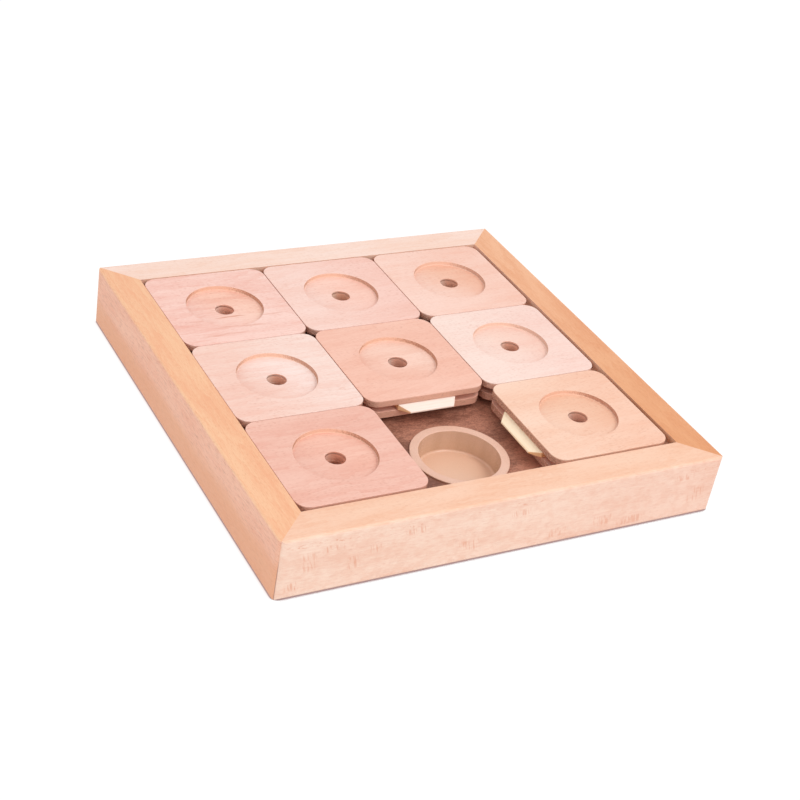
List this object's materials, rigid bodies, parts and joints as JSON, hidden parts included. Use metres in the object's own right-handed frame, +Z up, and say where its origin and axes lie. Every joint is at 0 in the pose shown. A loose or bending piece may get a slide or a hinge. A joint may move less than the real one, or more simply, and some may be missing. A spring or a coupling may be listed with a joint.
{
  "type": "dog puzzle feeder toy",
  "caption": "Square beech tray with treat cups under sliding wooden tiles; a dog slides a tile into the vacant place to reach the treats in the cup below.",
  "frame": {"origin": "middle of the underside, on the surface that the tray stands on", "axes": "+X to the right and +Y to the back of the tray, +Z up"},
  "size_m": [0.304, 0.304, 0.0413],
  "materials": {
    "rail_beech": "oiled satin",
    "tile_beech": "oiled satin",
    "core_beech": "sawn",
    "tongue_wood": "planed",
    "dark_board": "smooth, stained",
    "base_board": "sanded",
    "cup_plastic": "moulded, soft gloss"
  },
  "bodies": {
    "tray": {"front_rail": "rail_beech", "right_rail": "rail_beech", "back_rail": "rail_beech", "left_rail": "rail_beech", "right_rail_tongue": "tongue_wood", "back_rail_tongue": "tongue_wood", "corner_dowels": "core_beech", "base_panel": "base_board", "cup_board": "dark_board", "back_left_cup": "cup_plastic", "back_middle_cup": "cup_plastic", "back_right_cup": "cup_plastic", "middle_left_cup": "cup_plastic", "centre_cup": "cup_plastic", "middle_right_cup": "cup_plastic", "front_left_cup": "cup_plastic", "front_middle_cup": "cup_plastic", "front_right_cup": "cup_plastic", "back_left_tile_top_plate": "tile_beech", "back_left_tile_core": "core_beech", "back_left_tile_bottom_plate": "tile_beech", "back_left_tile_front_tongue": "tongue_wood", "back_left_tile_side_tongue": "tongue_wood", "back_right_tile_top_plate": "tile_beech", "back_right_tile_core": "core_beech", "back_right_tile_bottom_plate": "tile_beech", "back_right_tile_front_tongue": "tongue_wood", "back_right_tile_side_tongue": "tongue_wood", "middle_left_tile_top_plate": "tile_beech", "middle_left_tile_core": "core_beech", "middle_left_tile_bottom_plate": "tile_beech", "middle_left_tile_front_tongue": "tongue_wood", "middle_left_tile_side_tongue": "tongue_wood", "middle_right_tile_top_plate": "tile_beech", "middle_right_tile_core": "core_beech", "middle_right_tile_bottom_plate": "tile_beech", "middle_right_tile_front_tongue": "tongue_wood", "middle_right_tile_side_tongue": "tongue_wood", "front_left_tile_top_plate": "tile_beech", "front_left_tile_core": "core_beech", "front_left_tile_bottom_plate": "tile_beech", "front_left_tile_front_tongue": "tongue_wood", "front_left_tile_side_tongue": "tongue_wood", "front_right_tile_top_plate": "tile_beech", "front_right_tile_core": "core_beech", "front_right_tile_bottom_plate": "tile_beech", "front_right_tile_front_tongue": "tongue_wood", "front_right_tile_side_tongue": "tongue_wood"},
    "centre_tile": {"centre_tile_top_plate": "tile_beech", "centre_tile_core": "core_beech", "centre_tile_bottom_plate": "tile_beech", "centre_tile_front_tongue": "tongue_wood", "centre_tile_side_tongue": "tongue_wood"},
    "back_middle_tile": {"back_middle_tile_top_plate": "tile_beech", "back_middle_tile_core": "core_beech", "back_middle_tile_bottom_plate": "tile_beech", "back_middle_tile_front_tongue": "tongue_wood", "back_middle_tile_side_tongue": "tongue_wood"}
  },
  "joints": [
    {"name": "centre_tile_slide", "type": "slide", "parent": "tray", "child": "centre_tile", "axis": [0, -1, 0], "range_m": [0, 0.0875]},
    {"name": "back_middle_tile_slide", "type": "slide", "parent": "tray", "child": "back_middle_tile", "axis": [0, -1, 0], "range_m": [0, 0.0875]}
  ],
  "couplings": [
    {"joint": "back_middle_tile_slide", "follows": "centre_tile_slide", "ratio": 1}
  ]
}
